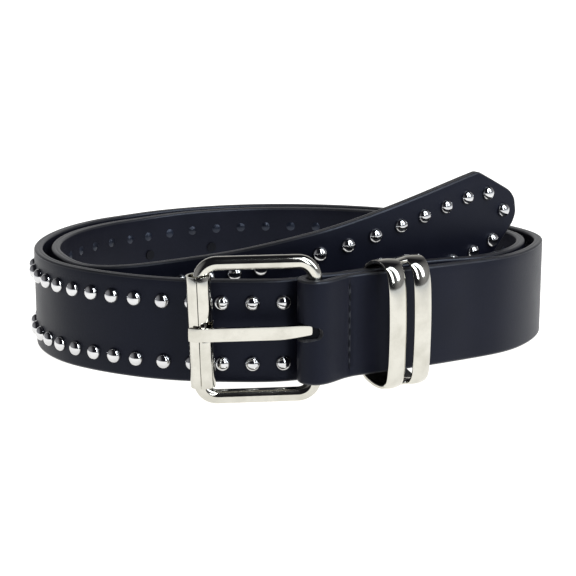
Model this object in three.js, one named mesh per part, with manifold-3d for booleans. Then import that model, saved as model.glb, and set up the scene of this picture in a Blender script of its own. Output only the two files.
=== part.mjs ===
import * as THREE from 'three';
import Module from 'manifold-3d';

const wasm = await Module();
wasm.setup();
const { Manifold, Mesh: SolidMesh } = wasm;

// A studded leather belt, unbuckled and coiled about two turns on its edge.
// Millimetres, +Z up. The front is -Y. It stands on the lower edge at the back of the coil
// and on the lower bar of the buckle, which lifts the front.

// Strap
const strapWidth = 38;
const strapThickness = 3.4;
const edgeChamfer = 0.5;
const coilRadius = 100;
const pieceGap = 0.3;
const sweepError = 0.15;

// Studs, in pairs along the strap
const studDiameter = 5.8;
const studHeight = 2.4;
const studPitch = 11.154;
const windowStudPitch = 10.65;
const frontStudPitch = 9.6;
const upperRowInset = 8.25;
const lowerRowInset = 7.2;
const studRoom = 0.6;
const rivetDiameter = 4.2;
const rivetHeight = 0.7;

// Pointed end
const tipDepth = 19.3;
const noseDepth = 3.4;
const noseHalf = 7.6;
const noseStudInset = 7.5;
const lastPairInset = 25.7;
const turnedPairInset = 14.9;
const turnedPairShift = 1.6;

// Tongue holes
const holeDiameter = 4;
const holePitch = 30.25;
const holeAcross = 0.57;
const firstHoleInset = 214.15;
const holeCount = 7;

// Buckle
const buckleHeight = 54;
const barSpacing = 40.8;
const wireDiameter = 5.2;
const wireCornerRadius = 6;
const buckleHeading = 6.3;
const rollerDiameter = 9;
const rollerLength = 40.6;
const rollerSheet = 0.7;
const rollerLean = 1.9;
const rollerInset = 0.25;
const rollerSeam = 0.5;
const tongueWidth = 5;
const tongueThickness = 1.8;
const tongueLoopThickness = 1;

// Fold of the strap round the buckle's bar
const foldHeading = 32.3;
const foldLength = 14;
const slotEnd = -0.4;
const slotHeight = 8;

// Keeper
const keeperHeight = 47.5;
const keeperDepth = 17.9;
const keeperLength = 18.7;
const keeperGap = 3.3;
const keeperSheet = 1.3;
const keeperCrown = 0.9;
const keeperFromBar = 22.9;
const flapBeyondKeeper = 3;

// The coil seen from above. turn: degrees from the front, counter-clockwise. out: radius of the
// outer face as a share of coilRadius. layers: layers of strap and studs outside this one.
// lift: height of the lower edge as a share of strapWidth.
const coil = [
  { turn: 52, out: 0.77, layers: 0, lift: 0.142 },
  { turn: 60, out: 0.805, layers: 0, lift: 0.125 },
  { turn: 68, out: 0.866, layers: 0, lift: 0.115 },
  { turn: 76, out: 0.92, layers: 0, lift: 0.098 },
  { turn: 87, out: 0.981, layers: 0, lift: 0.08 },
  { turn: 97, out: 1.02, layers: 0, lift: 0.062 },
  { turn: 108, out: 1.014, layers: 0, lift: 0.036 },
  { turn: 120, out: 0.985, layers: 0, lift: 0.012 },
  { turn: 135, out: 0.945, layers: 0, lift: 0 },
  { turn: 150, out: 0.917, layers: 0, lift: 0 },
  { turn: 165, out: 0.896, layers: 0, lift: 0 },
  { turn: 180, out: 0.893, layers: 0, lift: 0 },
  { turn: 195, out: 0.905, layers: 0, lift: 0 },
  { turn: 210, out: 0.929, layers: 0, lift: 0 },
  { turn: 225, out: 0.96, layers: 0, lift: 0 },
  { turn: 240, out: 0.98, layers: 0, lift: 0.022 },
  { turn: 255, out: 0.985, layers: 0, lift: 0.05 },
  { turn: 270, out: 0.989, layers: 0, lift: 0.076 },
  { turn: 281, out: 0.985, layers: 0, lift: 0.094 },
  { turn: 290, out: 0.97, layers: 0, lift: 0.106 },
  { turn: 299, out: 0.945, layers: 0, lift: 0.119 },
  { turn: 308, out: 0.91, layers: 0, lift: 0.13 },
  { turn: 318, out: 0.866, layers: 0, lift: 0.138 },
  { turn: 332, out: 0.806, layers: 0, lift: 0.143 },
  { turn: 346, out: 0.753, layers: 0, lift: 0.145 },
  { turn: 359, out: 0.718, layers: 0, lift: 0.143 },
  { turn: 378, out: 0.7, layers: 1, lift: 0.134 },
  { turn: 405, out: 0.68, layers: 1, lift: 0.12 },
  { turn: 418, out: 0.737, layers: 1, lift: 0.113 },
  { turn: 427, out: 0.835, layers: 1, lift: 0.105 },
  { turn: 436, out: 0.914, layers: 1, lift: 0.096 },
  { turn: 446, out: 0.973, layers: 1, lift: 0.08 },
  { turn: 457, out: 1.011, layers: 1, lift: 0.062 },
  { turn: 469, out: 1.008, layers: 1, lift: 0.034 },
  { turn: 480, out: 0.983, layers: 1, lift: 0.012 },
  { turn: 495, out: 0.944, layers: 1, lift: 0 },
  { turn: 510, out: 0.916, layers: 1, lift: 0 },
  { turn: 525, out: 0.894, layers: 1, lift: 0 },
  { turn: 540, out: 0.889, layers: 1, lift: 0 },
  { turn: 555, out: 0.897, layers: 1, lift: 0 },
  { turn: 570, out: 0.915, layers: 1, lift: 0 },
  { turn: 585, out: 0.935, layers: 1, lift: 0 },
  { turn: 600, out: 0.958, layers: 1, lift: 0.022 },
  { turn: 615, out: 0.978, layers: 1, lift: 0.05 },
  { turn: 630, out: 0.985, layers: 1, lift: 0.078 },
  { turn: 641, out: 0.979, layers: 1, lift: 0.096 },
  { turn: 649, out: 0.962, layers: 1, lift: 0.108 },
];

// The free end, which leaves the coil and rises across it. x and y: middle of the strap as
// shares of coilRadius. lift: as above.
const freeEnd = [
  { x: -0.785, y: -0.407, lift: 0.116 },
  { x: -0.64, y: -0.46, lift: 0.124 },
  { x: -0.45, y: -0.447, lift: 0.153 },
  { x: -0.18, y: -0.431, lift: 0.242 },
  { x: 0.14, y: -0.403, lift: 0.426 },
  { x: 0.46, y: -0.244, lift: 0.645 },
  { x: 0.72, y: -0.038, lift: 0.816 },
  { x: 0.922, y: 0.1255, lift: 0.928 },
];

const foldLift = 0.19;
const studsFrom = 200;

// Vectors in plan
const radians = (degrees) => degrees * Math.PI / 180;
const lerp = (a, b, t) => a + (b - a) * t;

// Solids from rings of points: each ring has as many points, seen in the same order.
function solidFromTriangles(points, triangles) {
  const flat = new Float32Array(points.length * 3);
  points.forEach((p, i) => flat.set([p.x, p.y, p.z], i * 3));
  const mesh = new SolidMesh({ numProp: 3, vertProperties: flat, triVerts: new Uint32Array(triangles.flat()) });
  mesh.merge();
  const solid = new Manifold(mesh);
  return solid.volume() < 0 ? turnedInsideOut(flat, triangles) : solid;
}

function turnedInsideOut(flat, triangles) {
  const turned = triangles.map(([a, b, c]) => [a, c, b]).flat();
  const mesh = new SolidMesh({ numProp: 3, vertProperties: flat, triVerts: new Uint32Array(turned) });
  mesh.merge();
  return new Manifold(mesh);
}

function sideTriangles(rings, count, closed) {
  const triangles = [];
  const last = closed ? rings : rings - 1;
  for (let i = 0; i < last; i += 1) {
    const here = i * count;
    const next = ((i + 1) % rings) * count;
    for (let j = 0; j < count; j += 1) {
      const k = (j + 1) % count;
      triangles.push([here + j, next + j, next + k], [here + j, next + k, here + k]);
    }
  }
  return triangles;
}

function loft(rings, closed = false) {
  const count = rings[0].length;
  const triangles = sideTriangles(rings.length, count, closed);
  if (!closed) {
    const end = (rings.length - 1) * count;
    for (let j = 1; j < count - 1; j += 1) {
      triangles.push([0, j, j + 1], [end, end + j + 1, end + j]);
    }
  }
  return solidFromTriangles(rings.flat(), triangles);
}

// A tube of two closed loops, outer and inner, at each station.
function bandLoft(stations) {
  const count = stations[0].outer.length;
  const points = stations.flatMap((s) => s.outer.concat(s.inner));
  const step = count * 2;
  const triangles = [];
  for (let i = 0; i < stations.length - 1; i += 1) {
    for (let j = 0; j < count; j += 1) {
      const k = (j + 1) % count;
      const a = i * step;
      const b = a + step;
      triangles.push([a + j, b + j, b + k], [a + j, b + k, a + k]);
      triangles.push([a + count + j, b + count + k, b + count + j]);
      triangles.push([a + count + j, a + count + k, b + count + k]);
    }
  }
  const end = (stations.length - 1) * step;
  for (let j = 0; j < count; j += 1) {
    const k = (j + 1) % count;
    triangles.push([j, k, count + k], [j, count + k, count + j]);
    triangles.push([end + j, end + count + k, end + k], [end + j, end + count + j, end + count + k]);
  }
  return solidFromTriangles(points, triangles);
}

// A smooth curve through values at knots, by a natural cubic spline.
function splineThrough(knots, values) {
  const n = knots.length;
  const second = new Array(n).fill(0);
  const work = new Array(n).fill(0);
  for (let i = 1; i < n - 1; i += 1) {
    const share = (knots[i] - knots[i - 1]) / (knots[i + 1] - knots[i - 1]);
    const divisor = share * second[i - 1] + 2;
    const after = (values[i + 1] - values[i]) / (knots[i + 1] - knots[i]);
    const before = (values[i] - values[i - 1]) / (knots[i] - knots[i - 1]);
    second[i] = (share - 1) / divisor;
    work[i] = (6 * (after - before) / (knots[i + 1] - knots[i - 1]) - share * work[i - 1]) / divisor;
  }
  for (let i = n - 2; i >= 0; i -= 1) second[i] = second[i] * second[i + 1] + work[i];
  return (t) => {
    let i = 0;
    while (i < n - 2 && t > knots[i + 1]) i += 1;
    const h = knots[i + 1] - knots[i];
    const a = (knots[i + 1] - t) / h;
    const b = (t - knots[i]) / h;
    const bend = (a ** 3 - a) * second[i] + (b ** 3 - b) * second[i + 1];
    return a * values[i] + b * values[i + 1] + bend * h * h / 6;
  };
}

// A curve through values at knots that never swings past them.
function steadyThrough(knots, values) {
  const n = knots.length;
  const rise = values.slice(1).map((v, i) => (v - values[i]) / (knots[i + 1] - knots[i]));
  const slope = values.map((v, i) => {
    if (i === 0 || i === n - 1) return rise[Math.min(i, n - 2)];
    if (rise[i - 1] * rise[i] <= 0) return 0;
    return 2 * rise[i - 1] * rise[i] / (rise[i - 1] + rise[i]);
  });
  return (t) => {
    let i = 0;
    while (i < n - 2 && t > knots[i + 1]) i += 1;
    const h = knots[i + 1] - knots[i];
    const s = (t - knots[i]) / h;
    const start = values[i] * (1 + 2 * s) * (1 - s) ** 2 + slope[i] * h * s * (1 - s) ** 2;
    const end = values[i + 1] * s * s * (3 - 2 * s) + slope[i + 1] * h * s * s * (s - 1);
    return start + end;
  };
}

// Buckle position: its bars stand just outside the studs of the layer behind them.
const wireRadius = wireDiameter / 2;
const rollerRadius = rollerDiameter / 2;
const layerStep = strapThickness + studHeight + studRoom;
const leftBarFront = coilRadius * 0.731 + studHeight + studRoom + rollerRadius;
const headingSin = Math.sin(radians(buckleHeading));
const headingCos = Math.cos(radians(buckleHeading));
const bar = { x: coilRadius * 0.095, y: -leftBarFront + barSpacing * headingSin };
const leftBar = { x: bar.x - barSpacing * headingCos, y: bar.y - barSpacing * headingSin };

// Points near the fold: along the strap from the bar, and outward from its middle plane.
function atFold(along, outward, z = 0) {
  const c = Math.cos(radians(foldHeading));
  const s = Math.sin(radians(foldHeading));
  return new THREE.Vector3(bar.x + along * c + outward * s, bar.y + along * s - outward * c, z);
}

// Points near the buckle: toward the left bar from the right one, and outward to the front.
function atBuckle(along, outward, z = 0) {
  const x = bar.x - along * headingCos + outward * headingSin;
  const y = bar.y - along * headingSin - outward * headingCos;
  return new THREE.Vector3(x, y, z);
}

// The route of the strap's middle, from the hidden flap round the bar to the pointed end.
const bendRadius = wireRadius + pieceGap + strapThickness / 2;
const halfStep = (strapThickness + pieceGap) / 2;
const flapLength = keeperFromBar + keeperLength + flapBeyondKeeper;
const closing = (along) => lerp(bendRadius, halfStep, (1 - Math.cos(Math.PI * along / foldLength)) / 2);

function routePoints() {
  const rows = [];
  const add = (p, lift) => rows.push({ x: p.x, y: p.y, lift });
  for (const share of [1, 0.75, 0.5, 0.25]) add(atFold(lerp(foldLength, flapLength, share), -halfStep), foldLift);
  for (const share of [1, 0.75, 0.5, 0.25]) add(atFold(foldLength * share, -closing(foldLength * share)), foldLift);
  for (let turn = -90; turn <= 90; turn += 22.5) {
    const angle = radians(turn);
    add(atFold(-bendRadius * Math.cos(angle), bendRadius * Math.sin(angle)), foldLift);
  }
  for (const share of [0.25, 0.5, 0.75, 1]) add(atFold(foldLength * share, closing(foldLength * share)), foldLift);
  for (const share of [0.25, 0.5, 0.75, 1]) {
    add(atFold(lerp(foldLength, flapLength, share), halfStep), lerp(foldLift, coil[0].lift, 0.7 * share));
  }
  for (const row of coil) {
    const radius = coilRadius * row.out - row.layers * layerStep - strapThickness / 2;
    const angle = radians(row.turn);
    add({ x: radius * Math.sin(angle), y: -radius * Math.cos(angle) }, row.lift);
  }
  for (const row of freeEnd) add({ x: row.x * coilRadius, y: row.y * coilRadius }, row.lift);
  return rows;
}

function buildRoute() {
  const rows = routePoints();
  const knots = [0];
  for (let i = 1; i < rows.length; i += 1) {
    knots.push(knots[i - 1] + Math.hypot(rows[i].x - rows[i - 1].x, rows[i].y - rows[i - 1].y));
  }
  const x = splineThrough(knots, rows.map((r) => r.x));
  const y = splineThrough(knots, rows.map((r) => r.y));
  const lift = steadyThrough(knots, rows.map((r) => r.lift * strapWidth));
  const fine = [];
  const total = knots[knots.length - 1];
  const count = Math.ceil(total / 0.4);
  for (let i = 0; i <= count; i += 1) {
    const t = total * i / count;
    fine.push(new THREE.Vector3(x(t), y(t), lift(t)));
  }
  const lengths = [0];
  for (let i = 1; i < fine.length; i += 1) lengths.push(lengths[i - 1] + fine[i].distanceTo(fine[i - 1]));
  return { fine, lengths, total: lengths[lengths.length - 1] };
}

const route = buildRoute();

function pointOn(s) {
  const { fine, lengths } = route;
  let low = 0;
  let high = lengths.length - 1;
  while (high - low > 1) {
    const middle = (low + high) >> 1;
    if (lengths[middle] <= s) low = middle;
    else high = middle;
  }
  const share = (s - lengths[low]) / (lengths[high] - lengths[low]);
  return fine[low].clone().lerp(fine[high], share);
}

// The strap's own directions at a length s along it: forward, out of the face and across.
function frameAt(s) {
  const reach = 0.6;
  const from = pointOn(Math.max(0, s - reach));
  const to = pointOn(Math.min(route.total, s + reach));
  const forward = to.sub(from).normalize();
  const out = new THREE.Vector3(forward.y, -forward.x, 0).normalize();
  const across = new THREE.Vector3().crossVectors(out, forward).normalize();
  if (across.z < 0) across.negate();
  return { origin: pointOn(s), forward, out, across };
}

function onStrap(s, outward, height) {
  const f = frameAt(s);
  return f.origin.clone().addScaledVector(f.out, outward).addScaledVector(f.across, height);
}

// Half the strap's width at a distance from the end of the tip.
const noseRadius = (noseHalf ** 2 + noseDepth ** 2) / (2 * noseDepth);
function halfWidthAt(fromEnd) {
  if (fromEnd >= tipDepth) return strapWidth / 2;
  if (fromEnd >= noseDepth) return lerp(noseHalf, strapWidth / 2, (fromEnd - noseDepth) / (tipDepth - noseDepth));
  return Math.sqrt(noseRadius ** 2 - (noseRadius - fromEnd) ** 2);
}

function strapRing(s) {
  const half = halfWidthAt(route.total - s);
  const middle = strapWidth / 2;
  const low = middle - half;
  const high = middle + half;
  const t = strapThickness / 2;
  const c = Math.min(edgeChamfer, half / 3);
  const corners = [
    [-t, low + c], [-t, high - c], [-t + c, high], [t - c, high],
    [t, high - c], [t, low + c], [t - c, low], [-t + c, low],
  ];
  const f = frameAt(s);
  return corners.map(([o, h]) => f.origin.clone().addScaledVector(f.out, o).addScaledVector(f.across, h));
}

// Stations closer together where the strap bends sharply.
function strapStations() {
  const stations = [0];
  let s = 0;
  while (s < route.total - tipDepth - 4) {
    const a = frameAt(s).forward;
    const b = frameAt(Math.min(s + 3, route.total)).forward;
    const radius = Math.min(3 / Math.max(a.angleTo(b), 0.001), 110);
    s += Math.sqrt(8 * sweepError * Math.max(radius, 3.5));
    stations.push(Math.min(s, route.total - tipDepth - 4));
  }
  const shares = [1, 0.72, 0.45, 0.2, 0.05];
  stations.push(route.total - tipDepth, route.total - (tipDepth + noseDepth) / 2);
  for (const share of shares) stations.push(route.total - noseDepth * share);
  return stations;
}

function round(sides, radius, centre, axisA, axisB, turn = 0) {
  return Array.from({ length: sides }, (_, i) => {
    const angle = 2 * Math.PI * i / sides + turn;
    return centre.clone().addScaledVector(axisA, radius * Math.cos(angle)).addScaledVector(axisB, radius * Math.sin(angle));
  });
}

// A dome on the strap's face. shares: radius and height of each ring as shares of the dome's own.
function domeOn(s, height, side, base, profile, radius, rise, sides = 10) {
  const f = frameAt(s);
  const out = f.out.clone().multiplyScalar(side);
  const foot = f.origin.clone().addScaledVector(f.across, height);
  foot.addScaledVector(out, strapThickness / 2 + base);
  const rings = profile.map((row) => {
    const centre = foot.clone().addScaledVector(out, rise * row.high);
    return round(sides, radius * row.wide, centre, f.forward, f.across);
  });
  return loft(rings);
}

const studProfile = [
  { wide: 1, high: 0 },
  { wide: 0.88, high: 0.48 },
  { wide: 0.42, high: 1 },
];
const hiddenStudProfile = [
  { wide: 1, high: -0.25 },
  { wide: 0.62, high: 1 },
];
const rivetProfile = [
  { wide: 1, high: -0.5 },
  { wide: 0.6, high: 1 },
];

// Where along the strap a turn of the coil lies.
function lengthAtTurn(turn) {
  const rows = routePoints();
  const first = rows.length - freeEnd.length - coil.length;
  let index = 0;
  while (index < coil.length - 2 && coil[index + 1].turn <= turn) index += 1;
  const share = (turn - coil[index].turn) / (coil[index + 1].turn - coil[index].turn);
  const near = rows[first + index];
  const after = rows[first + index + 1];
  const target = new THREE.Vector3(lerp(near.x, after.x, share), lerp(near.y, after.y, share), 0);
  let best = 0;
  let gap = Infinity;
  const roundShares = turn < 360 ? [0.1, 0.52] : [0.46, 1];
  route.fine.forEach((p, i) => {
    const d = Math.hypot(p.x - target.x, p.y - target.y);
    if (between(route.lengths[i] / route.total, roundShares) && d < gap) {
      gap = d;
      best = route.lengths[i];
    }
  });
  return best;
}

const between = (s, [a, b]) => s >= a && s <= b;

// The pairs sit closer together round the coil's left front.
function studPairs() {
  const pairs = [];
  const from = lengthAtTurn(studsFrom);
  const onFront = [lengthAtTurn(284), lengthAtTurn(325)];
  const atWindow = [lengthAtTurn(325), lengthAtTurn(364)];
  let s = route.total - lastPairInset;
  while (s > from) {
    pairs.push(s);
    if (between(s, onFront)) s -= frontStudPitch;
    else if (between(s, atWindow)) s -= windowStudPitch;
    else s -= studPitch;
  }
  return pairs;
}

const lowerRow = lowerRowInset;
const upperRow = strapWidth - upperRowInset;
const pairs = studPairs();

// The domes that show from the front are pieces of their own.
const leftFront = [lengthAtTurn(276), lengthAtTurn(331)];
const inWindow = [lengthAtTurn(340), lengthAtTurn(364)];
const onFreeEnd = route.total - lastPairInset - studPitch * 8.5;
const backShows = [lengthAtTurn(540), lengthAtTurn(620)];
const ownUpper = (s) => between(s, leftFront) || between(s, inWindow) || s > onFreeEnd;
const ownLower = (s) => between(s, leftFront) || between(s, inWindow) || s > route.total - lastPairInset - studPitch * 2.5;

const studPlaces = [];
pairs.forEach((s) => {
  studPlaces.push({ s, height: upperRow, own: ownUpper(s) });
  studPlaces.push({ s, height: lowerRow, own: ownLower(s) });
});
studPlaces.push({ s: route.total - turnedPairInset, height: upperRow - turnedPairShift, own: true });
studPlaces.push({ s: route.total - turnedPairInset, height: lowerRow + turnedPairShift, own: true });
studPlaces.push({ s: route.total - noseStudInset, height: strapWidth / 2, own: true });

const tongueMiddle = buckleHeight / 2;

// Strap: the swept leather with its hidden domes, rivet backs, holes, slot and crease.
function prismAtFold(outline, from, to) {
  const rings = [from, to].map((outward) => outline.map(([along, z]) => atFold(along, outward, z)));
  return loft(rings);
}

function buildStrap() {
  let body = loft(strapStations().map(strapRing));
  const added = [];
  for (const place of studPlaces) {
    if (place.own) continue;
    added.push(domeOn(place.s, place.height, 1, 0, hiddenStudProfile, studDiameter / 2, studHeight, 8));
  }
  for (const s of pairs) {
    if (!between(s, backShows)) continue;
    for (const height of [upperRow, lowerRow]) {
      added.push(domeOn(s, height, -1, 0, rivetProfile, rivetDiameter / 2, rivetHeight, 8));
    }
  }
  body = Manifold.union([body, ...added]);
  const cuts = [];
  for (let i = 0; i < holeCount; i += 1) {
    const s = route.total - firstHoleInset - i * holePitch;
    const f = frameAt(s);
    const centre = onStrap(s, 0, strapWidth * holeAcross);
    const ends = [-1, 1].map((side) => centre.clone().addScaledVector(f.out, side * (strapThickness / 2 + 0.6)));
    cuts.push(loft(ends.map((end) => round(12, holeDiameter / 2, end, f.forward, f.across))));
  }
  const middle = foldLift * strapWidth + strapWidth / 2;
  const half = slotHeight / 2;
  const slotReach = bendRadius + strapThickness / 2 + pieceGap / 2;
  const outline = [[-slotReach, middle - half]];
  for (let i = 0; i <= 8; i += 1) {
    const angle = radians(-90 + 22.5 * i);
    outline.push([slotEnd - half * 0.6 + half * 0.6 * Math.cos(angle), middle + half * Math.sin(angle)]);
  }
  outline.push([-slotReach, middle + half]);
  cuts.push(prismAtFold(outline, -slotReach, slotReach));
  const pocket = wireRadius + tongueLoopThickness + pieceGap * 2;
  const pocketHalf = tongueWidth / 2 + pieceGap * 2;
  const along = atFold(1, 0).sub(atFold(0, 0));
  const outward = atFold(0, 1).sub(atFold(0, 0));
  const ends = [-pocketHalf, pocketHalf].map((z) => atFold(0, 0, tongueMiddle + z));
  cuts.push(loft(ends.map((end) => round(24, pocket, end, along, outward))));
  return Manifold.difference([body, ...cuts]);
}

// Buckle frame: a bent wire loop with round corners.
function buildFrame() {
  const halfLong = buckleHeight / 2 - wireRadius;
  const middle = buckleHeight / 2;
  const path = [];
  const corners = [
    { along: wireCornerRadius, z: middle + halfLong - wireCornerRadius, from: 180 },
    { along: barSpacing - wireCornerRadius, z: middle + halfLong - wireCornerRadius, from: 90 },
    { along: barSpacing - wireCornerRadius, z: middle - halfLong + wireCornerRadius, from: 0 },
    { along: wireCornerRadius, z: middle - halfLong + wireCornerRadius, from: -90 },
  ];
  for (const corner of corners) {
    for (let i = 0; i <= 6; i += 1) {
      const angle = radians(corner.from - 15 * i);
      const along = corner.along + wireCornerRadius * Math.cos(angle);
      path.push({ along, z: corner.z + wireCornerRadius * Math.sin(angle), angle });
    }
  }
  const out = atBuckle(0, 1).sub(atBuckle(0, 0));
  const rings = path.map((p) => {
    const centre = atBuckle(p.along, 0, p.z);
    const radial = atBuckle(Math.cos(p.angle), 0, Math.sin(p.angle)).sub(atBuckle(0, 0));
    return round(12, wireRadius, centre, out, radial);
  });
  return loft(rings, true);
}

// Roller: a sheet sleeve with an open seam, and a notch beside the tongue.
// The sleeve is loose on its bar and leans on it, its top further out.
const leanAt = (z) => (z - buckleHeight / 2) * Math.tan(radians(rollerLean)) - rollerInset;

function buildRoller() {
  const inner = rollerRadius - rollerSheet;
  const seamHalf = Math.asin(rollerSeam / 2 / rollerRadius);
  const seamAt = radians(78);
  const ring = (z) => {
    const points = [];
    const steps = 24;
    for (const [radius, forward] of [[rollerRadius, true], [inner, false]]) {
      for (let i = 0; i <= steps; i += 1) {
        const share = forward ? i / steps : 1 - i / steps;
        const angle = seamAt + seamHalf + share * (2 * Math.PI - 2 * seamHalf);
        points.push(atBuckle(barSpacing + leanAt(z) + radius * Math.cos(angle), radius * Math.sin(angle), z));
      }
    }
    return points;
  };
  const low = buckleHeight / 2 - rollerLength / 2;
  return sleeve(ring(low), ring(low + rollerLength));
}

// An open ring of sheet, swept straight up: its end faces are strips between the two arcs.
function sleeve(bottom, top) {
  const count = bottom.length;
  const half = count / 2;
  const triangles = sideTriangles(2, count, false);
  for (let i = 0; i < half - 1; i += 1) {
    const outer = [i, i + 1];
    const inner = [count - 1 - i, count - 2 - i];
    triangles.push([outer[0], outer[1], inner[1]], [outer[0], inner[1], inner[0]]);
    triangles.push([count + outer[0], count + inner[1], count + outer[1]]);
    triangles.push([count + outer[0], count + inner[0], count + inner[1]]);
  }
  return solidFromTriangles(bottom.concat(top), triangles);
}

function notched(roller) {
  const low = tongueMiddle - tongueWidth / 2 - pieceGap;
  const high = tongueMiddle + tongueWidth / 2 + 1.6;
  const along = [barSpacing - rollerRadius - 1, barSpacing];
  const outline = [[along[0], low], [along[1], low], [along[1], high], [along[0], high]];
  const rings = [0.2, rollerRadius + 1].map((outward) => outline.map(([a, z]) => atBuckle(a, outward, z)));
  return Manifold.difference([roller, loft(rings)]);
}

// Tongue: looped round the right bar, then straight to the roller, its end bent down over it.
function tonguePath() {
  const loop = wireRadius + pieceGap + tongueLoopThickness / 2;
  const rest = rollerRadius + pieceGap + tongueThickness / 2;
  const path = [];
  for (let turn = 0; turn <= 250; turn += 22.5) {
    const angle = radians(5 - turn);
    path.push({ along: loop * Math.cos(angle), outward: loop * Math.sin(angle), thick: 0 });
  }
  path.push({ along: loop * Math.sin(radians(4)), outward: loop * Math.cos(radians(4)), thick: 0 });
  for (const share of [0.05, 0.1, 0.16, 0.24, 0.35, 0.6, 0.85]) {
    const eased = Math.min(1, share / 0.35);
    const outward = lerp(loop, rest, eased * eased * (3 - 2 * eased));
    path.push({ along: share * barSpacing, outward, thick: eased });
  }
  for (const turn of [0, 15, 30, 45]) {
    const angle = radians(turn);
    path.push({ along: barSpacing + rest * Math.sin(angle), outward: rest * Math.cos(angle), thick: 1 });
  }
  return path;
}

function buildTongue() {
  const path = tonguePath();
  const half = tongueWidth / 2;
  const rings = path.map((p, i) => {
    const thick = lerp(tongueLoopThickness, tongueThickness, p.thick) / 2;
    const bevel = lerp(0.2, 0.6, p.thick);
    const before = path[Math.max(0, i - 1)];
    const after = path[Math.min(path.length - 1, i + 1)];
    const length = Math.hypot(after.along - before.along, after.outward - before.outward);
    const normal = [-(after.outward - before.outward) / length, (after.along - before.along) / length];
    const corners = [
      [-thick, -half + 0.2], [-thick, half - 0.2], [-thick + 0.2, half], [thick - bevel, half],
      [thick, half - bevel], [thick, -half + bevel], [thick - bevel, -half], [-thick + 0.2, -half],
    ];
    return corners.map(([o, z]) => atBuckle(p.along + normal[0] * o, p.outward + normal[1] * o, tongueMiddle + z));
  });
  return loft(rings);
}

// Keeper: two crowned bands side by side in front, joined into one sheet behind.
// deep and high: the loop's outline as shares of keeperDepth and keeperHeight.
const keeperOutline = [
  { deep: 0, high: 0.06 },
  { deep: 0.02, high: 0.035 },
  { deep: 0.2, high: 0.012 },
  { deep: 0.42, high: 0 },
  { deep: 0.63, high: 0.002 },
  { deep: 0.79, high: 0.018 },
  { deep: 0.88, high: 0.045 },
  { deep: 0.93, high: 0.1 },
  { deep: 0.98, high: 0.28 },
  { deep: 1, high: 0.5 },
  { deep: 0.98, high: 0.72 },
  { deep: 0.93, high: 0.9 },
  { deep: 0.88, high: 0.955 },
  { deep: 0.79, high: 0.982 },
  { deep: 0.63, high: 0.997 },
  { deep: 0.42, high: 1 },
  { deep: 0.2, high: 0.978 },
  { deep: 0.02, high: 0.945 },
  { deep: 0, high: 0.92 },
];
const keeperLow = 2;
const keeperBehind = halfStep + strapThickness / 2 + pieceGap + keeperSheet;

function keeperBand(from, to, crown, shift) {
  const stations = [];
  const loopAt = (along, grow) => {
    const count = keeperOutline.length;
    const flat = keeperOutline.map((row) => [row.deep * keeperDepth, row.high * keeperHeight]);
    return flat.map((p, i) => {
      const before = flat[(i + count - 1) % count];
      const after = flat[(i + 1) % count];
      const length = Math.hypot(after[0] - before[0], after[1] - before[1]);
      const normal = [(after[1] - before[1]) / length, -(after[0] - before[0]) / length];
      const front = Math.min(1, p[0] / keeperDepth * 1.6);
      const deep = p[0] + normal[0] * (grow * (grow > 0 ? front : 1) + shift);
      const high = p[1] + normal[1] * (grow * (grow > 0 ? front : 1) + shift);
      return atFold(keeperFromBar + along, deep - keeperBehind, keeperLow + high);
    });
  };
  for (let i = 0; i <= 3; i += 1) {
    const share = i / 3;
    const along = lerp(from, to, share);
    const swell = crown * (1 - (2 * share - 1) ** 2);
    stations.push({ outer: loopAt(along, swell), inner: loopAt(along, -keeperSheet) });
  }
  return bandLoft(stations);
}

function buildKeeper() {
  const bandLength = (keeperLength - keeperGap) / 2;
  const left = keeperBand(0, bandLength, keeperCrown, 0);
  const right = keeperBand(keeperLength - bandLength, keeperLength, keeperCrown, 0);
  const joint = keeperBand(bandLength - 1, keeperLength - bandLength + 1, 0, -0.1);
  const frontPart = [[keeperFromBar - 1, keeperLow - 5], [keeperFromBar + keeperLength + 1, keeperLow - 5],
    [keeperFromBar + keeperLength + 1, keeperLow + keeperHeight + 5], [keeperFromBar - 1, keeperLow + keeperHeight + 5]];
  const ahead = keeperDepth * 0.72 - keeperBehind;
  const cutter = prismAtFold(frontPart, ahead, ahead + keeperDepth);
  return Manifold.union([left, right, Manifold.difference([joint, cutter])]);
}

// Meshes
function meshOf(name, solid, material) {
  const data = solid.getMesh();
  const geometry = new THREE.BufferGeometry();
  const step = data.numProp;
  const positions = new Float32Array(data.vertProperties.length / step * 3);
  for (let i = 0; i < positions.length / 3; i += 1) {
    for (let j = 0; j < 3; j += 1) positions[i * 3 + j] = data.vertProperties[i * step + j];
  }
  geometry.setAttribute('position', new THREE.BufferAttribute(positions, 3));
  geometry.setIndex(new THREE.BufferAttribute(new Uint32Array(data.triVerts), 1));
  geometry.computeVertexNormals();
  const mesh = new THREE.Mesh(geometry, material);
  mesh.name = name;
  return mesh;
}

const leather = () => new THREE.MeshStandardMaterial({ name: 'black leather', color: 0x17171d, roughness: 0.45, metalness: 0 });
const nickel = () => new THREE.MeshStandardMaterial({ name: 'polished nickel', color: 0xd9d4c8, roughness: 0.12, metalness: 1 });
const chrome = () => new THREE.MeshStandardMaterial({ name: 'chrome', color: 0xdddfe2, roughness: 0.1, metalness: 1 });

const belt = new THREE.Group();
belt.name = 'studded_belt';
belt.add(meshOf('strap', buildStrap(), leather()));
belt.add(meshOf('buckle_frame', buildFrame(), nickel()));
belt.add(meshOf('roller', notched(buildRoller()), nickel()));
belt.add(meshOf('tongue', buildTongue(), nickel()));
belt.add(meshOf('keeper', buildKeeper(), nickel()));
studPlaces.filter((place) => place.own).forEach((place, i) => {
  const solid = domeOn(place.s, place.height, 1, pieceGap, studProfile, studDiameter / 2, studHeight - pieceGap);
  belt.add(meshOf(`stud_${String(i + 1).padStart(2, '0')}`, solid, chrome()));
});

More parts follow.
